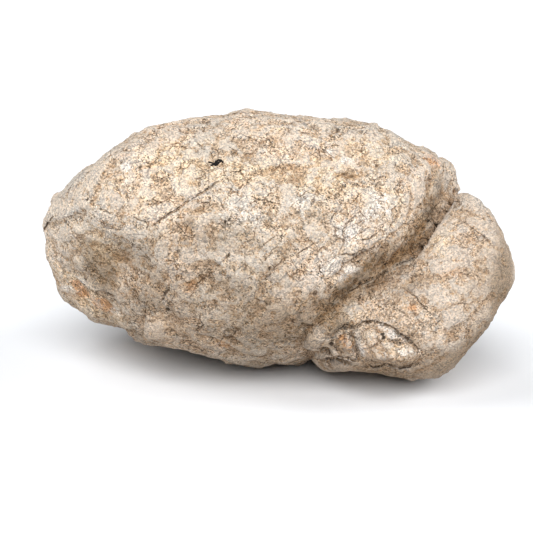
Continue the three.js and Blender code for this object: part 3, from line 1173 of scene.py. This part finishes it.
# %% [markdown]
# ## The crust's colour
# The base is warm grey that drifts to beige over a few centimetres, with patches of tan, cream and chalk.
# Every layer is made in the same way, so it is one row of a table: a mask, and a colour that goes on where
# the mask is high. Some rows replace the colour under them, and others multiply it, which keeps its pattern.

# %% Mix the base and the patches
BEIGE = colour(208, 184, 158)
PEACH = colour(222, 200, 178)
STONE_GREY = colour(198, 183, 165)
CREAM = colour(236, 214, 186)
CHALK = colour(242, 230, 216)
TAN = colour(190, 160, 128)
SIDE_PINK = colour(203, 180, 157)
SIDE_PINK_SHARE = 0.7


def clouds(size, detail=2, rough=0.5, warp=0, where=None):
    """Soft noise from about 0 to 1 with lumps of this size in millimetres."""
    shape = {"Scale": 1 / (size * MM), "Detail": detail, "Roughness": rough, "Distortion": warp}
    return node("ShaderNodeTexNoise", {}, {"Vector": where or place, **shape})


def known(name):
    """An attribute stored on the stone's points."""
    return node("ShaderNodeAttribute", {"attribute_name": name}, output="Fac")


def by_lobe(on_main, on_side):
    """One value on the main lobe and another on the smaller lobe."""
    return on_main + (on_side - on_main) * side


def layered(under, layers):
    """Colours laid over another, one after the other."""
    for mask, low, high, share, over, mode in layers:
        under = blend(between(mask, low, high) * share, under, over, mode)
    return under


side = known("side")
ground = layered(STONE_GREY, [
    # mask, where it starts and where it is full, share, colour, way of mixing
    (clouds(42, 3, 0.55), 0.38, 0.62, 1, PEACH, "MIX"),
    (clouds(16, 3, 0.6, 0.4), 0.42, 0.66, by_lobe(0.28, 0), TAN, "MIX"),
    (clouds(9, 4, 0.62, 0.4), 0.40, 0.60, 0.4, BEIGE, "MIX"),
])
ground = layered(blend(side * SIDE_PINK_SHARE, ground, SIDE_PINK), [
    (clouds(6, 4, 0.6, 0.6), 0.50, 0.72, by_lobe(0.42, 0.32), CREAM, "MIX"),
    (clouds(8, 4, 0.62, 0.8), 0.54, 0.74, by_lobe(0.4, 0.3), CHALK, "MIX"),
])
print("base colour mixed,", len(tree.nodes), "nodes so far")

# %% Lay the stains, the painted shadow and the painted light
RUST = colour(214, 158, 108)
ASH_AND_SHADOW = colour(184, 176, 166)
CLAY = colour(176, 144, 106)
STAIN_WHITE = colour(246, 240, 234)
CREAM_AND_LIGHT = colour(240, 216, 184)
SHADOW_DARK = colour(110, 98, 86)
STAIN_AND_SHADE_LAYERS = [
    # name of the stored patch, share, colour: the darkest is painted shadow, the grey one is partly painted
    # shadow and the cream one partly painted light
    ("cream", 0.6, CREAM_AND_LIGHT), ("ash", 0.6, ASH_AND_SHADOW), ("clay", 0.65, CLAY), ("rust", 0.72, RUST),
    ("chalk", 0.7, STAIN_WHITE), ("soot", 0.7, SHADOW_DARK),
]
STAIN_EDGE = (0.1, 0.7)
FRAY = 0.9
FRAY_START = 0.2

ragged = clouds(3, 4, 0.7) - 0.5


def frayed(name):
    """A stored patch of stain, painted shadow or painted light, with its edge frayed by noise, and clean
    where there is none.
    """
    amount = known(name)
    return amount + ragged * FRAY * between(amount, 0, FRAY_START)


stained_and_shaded = layered(ground, [
    (frayed(kind), *STAIN_EDGE, share, pigment, "MIX") for kind, share, pigment in STAIN_AND_SHADE_LAYERS
])
print(len(STAIN_AND_SHADE_LAYERS), "kinds of stain laid,", len(tree.nodes), "nodes so far")

# %% [markdown]
# ## Grains and hairlines
# Three sizes of noise make the sugary grain: cells of 0.8 mm, each with its own grey, a finer cloud over
# them, and on the main lobe streaks along the bedding. Their sum multiplies the colour, so that light and
# dark change and the hue stays. Fine cracks run all over weathered limestone, too many to place by hand. A
# thin line runs where two cells of a Voronoi pattern meet, and clouds bend the cells and break up the lines.

# %% Scatter the grains
DARK_GRAIN = colour(104, 88, 72)
OCHRE_GRAIN = colour(216, 170, 122)
WHITE_GRAIN = colour(252, 246, 238)
WARM_GRAIN = tint(255, 238, 212)
GRAIN_MM = 0.8
GRAIN_CONTRAST = 1.65
FINE_CONTRAST = 0.8
SIDE_CONTRAST = 0.88
STREAK = 5
STREAK_SLOPE = math.radians(38)
STREAK_CONTRAST = 0.8
STREAK_LEAST = 0.15
SUGAR_LEAST = 0.75
SUGAR_RISE = 0.35
LIFT = 1.06
PAINTED_LIGHT_LIFT = 0.08
CRYSTALS = (0.58, 0.68)

sand = node("ShaderNodeTexVoronoi", {}, {"Vector": place, "Scale": 1 / (GRAIN_MM * MM)}, output="Color")
grain = node("ShaderNodeSeparateColor", {}, {"Color": sand}, output=0) - 0.5
chance = node("ShaderNodeSeparateColor", {}, {"Color": sand}, output=1)
fine = clouds(1.4, 3, 0.8) - 0.5
along_bedding = {"Vector": place, "Rotation": (0, -STREAK_SLOPE, 0), "Scale": (STREAK, 1, 1)}
turned = node("ShaderNodeMapping", {"vector_type": "TEXTURE"}, along_bedding, output="Vector")
streaks = (clouds(1.6, 3, 0.65, where=turned) - 0.5) * by_lobe(1, 0)
sugary = SUGAR_LEAST + between(clouds(13, 3, 0.6), 0.40, 0.60) * SUGAR_RISE
sugar = (grain * GRAIN_CONTRAST + fine * FINE_CONTRAST) * sugary * by_lobe(1, SIDE_CONTRAST)
bedded = streaks * STREAK_CONTRAST * (STREAK_LEAST + known("strata"))
# painted light: the crust is made lighter where light is painted
lightness = LIFT + known("washed") * PAINTED_LIGHT_LIFT + sugar + bedded
fleck = clouds(1.3, 2, 0.75)
grainy = layered(blend(1, stained_and_shaded, lightness, "MULTIPLY"), [
    # mask, where it starts and where it is full, share, colour, way of mixing
    (clouds(4.5, 4, 0.75), 0.46, 0.62, 0.3, WARM_GRAIN, "MULTIPLY"),
    (chance, 0.88, 0.93, 0.6, OCHRE_GRAIN, "MIX"),
    (fleck, *CRYSTALS, sugary * by_lobe(0.4, 0.3), WHITE_GRAIN, "MIX"),
    (fleck, 0.40, 0.31, sugary * by_lobe(0.24, 0.18), DARK_GRAIN, "MIX"),
])
print("grains scattered,", len(tree.nodes), "nodes so far")

# %% Draw the hairlines
HAIRLINE_MM = 0.45
HAIR_CELLS = [(14, 0.17), (14 / 2.4, 0.05)]  # cell mm, share of its lines that show
HAIR_BEND = 0.45
HAIR_BREAKS = 0.9
HAIR_FADE = (0.64, 0.68)
HAIR_DARK = tint(140, 120, 102)


def hairlines(cell, share):
    """Thin broken lines round bent cells of this size in millimetres: 1 on a line, for this share of them."""
    scale = 1 / (cell * MM)
    wander = node("ShaderNodeTexNoise", {}, {"Vector": place, "Scale": scale, "Detail": 5}, output="Color")
    shift = {0: wander, 1: (HAIR_BEND * cell * MM,) * 3, 2: place}
    bent = node("ShaderNodeVectorMath", {"operation": "MULTIPLY_ADD"}, shift)
    border = node("ShaderNodeTexVoronoi", {"feature": "DISTANCE_TO_EDGE"}, {"Vector": bent, "Scale": scale})
    shown = between(clouds(cell * HAIR_BREAKS), *(limit - share for limit in HAIR_FADE))
    return between(border, HAIRLINE_MM / cell, 0) * shown


lined = sum(hairlines(cell, share) for cell, share in HAIR_CELLS)
grainy = layered(grainy, [(lined, 0, 1, by_lobe(0.75, 0.55), HAIR_DARK, "MULTIPLY")])
print("hairlines drawn,", len(tree.nodes), "nodes so far")

# %% [markdown]
# ## Dirt and painted shade
# Dirt and painted shade go on last: soil and painted shade in pits, pale wear and a painted highlight on
# edges, soil and painted shade in broad hollows, a veil of painted shade on what faces down, and dirt and
# painted shade in the open cracks. Where light is painted, the veil stays off.

# %% Rub in the dirt and the painted shade
PIT_DIRT_AND_SHADE = tint(196, 176, 152)
UNDERSIDE_SHADE_TINT = tint(186, 177, 164)
SOIL_AND_SHADE = tint(196, 178, 154)
CRACK_DIRT_AND_SHADE = colour(58, 46, 36)
MARK_BLACK = colour(30, 27, 25)
UNDERSIDE_SHADE_SHARE = 0.6
PIT_FRAY = 0.4
SHADE_FRAY = 0.3

pit = known("pit")
# painted shade: this mask darkens what faces down and the patches of painted shade, but not where light is
# painted
painted_shade_mask = known("underside_shade") * (1 - known("washed")) * UNDERSIDE_SHADE_SHARE + known("grime")
dirty_and_shaded = layered(grainy, [
    # mask, where it starts and where it is full, share, colour, way of mixing
    # dirt and painted shade in pits, then pale wear and a painted highlight on edges, then dirt and painted
    # shade in broad hollows
    (pit + ragged * PIT_FRAY, 0.6, 1.0, 0.4, PIT_DIRT_AND_SHADE, "MULTIPLY"),
    (pit, 0.42, 0.10, 0.3, WHITE_GRAIN, "MIX"),
    (known("hollow"), 0.65, 1.0, 0.25, SOIL_AND_SHADE, "MULTIPLY"),
    (painted_shade_mask + ragged * SHADE_FRAY, 0, 1, 1, UNDERSIDE_SHADE_TINT, "MULTIPLY"),
    # dirt and painted shade in the open cracks and holes
    (known("crack"), 0.1, 0.8, 0.87, CRACK_DIRT_AND_SHADE, "MIX"),
    (known("mark"), 0.3, 0.7, 1, MARK_BLACK, "MIX"),
])
print("dirt rubbed in,", len(tree.nodes), "nodes so far")

# %% [markdown]
# ## The crust's feel
# The carved skin holds everything wider than about two millimetres. Grains and pin pricks are smaller, so
# they go into a bump, which bends the light without adding points. Limestone is dull: rough nearly all
# over, a touch smoother where crystals show.

# %% Finish the material and give it to the stone
GRAIN_BUMP = 1.1 * MM
PRICK_MM = 1.5
PRICK_HEIGHTS = (0.35, 0.25)  # main lobe, smaller lobe
SWELL_HEIGHT = 0.4
STREAK_HEIGHT = 0.5
HAIR_DEPTH = 0.3
DULL = 0.92
CRYSTAL_SHEEN = 0.2
STONE_SPECULAR = 0.25

pricks = node("ShaderNodeTexVoronoi", {}, {"Vector": place, "Scale": 1 / (PRICK_MM * MM)}, output="Distance")
swells = clouds(4, 2, 0.5)
height = fine + pricks * by_lobe(*PRICK_HEIGHTS) + swells * SWELL_HEIGHT + streaks * STREAK_HEIGHT
height = height - between(lined, 0, 1) * HAIR_DEPTH
bump = node("ShaderNodeBump", {}, {"Height": height, "Distance": GRAIN_BUMP, "Strength": 1}, output="Normal")
finish = tree.nodes["Principled BSDF"]
finish.inputs["Specular IOR Level"].default_value = STONE_SPECULAR
tree.links.new(dirty_and_shaded.socket, finish.inputs["Base Color"])
tree.links.new((DULL - between(fleck, *CRYSTALS) * CRYSTAL_SHEEN).socket, finish.inputs["Roughness"])
tree.links.new(bump.socket, finish.inputs["Normal"])
stone.data.materials.append(crust)
print(len(tree.nodes), "nodes in the crust")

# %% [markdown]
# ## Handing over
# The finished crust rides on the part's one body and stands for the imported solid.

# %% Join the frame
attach(stone, "root")
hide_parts("geode")
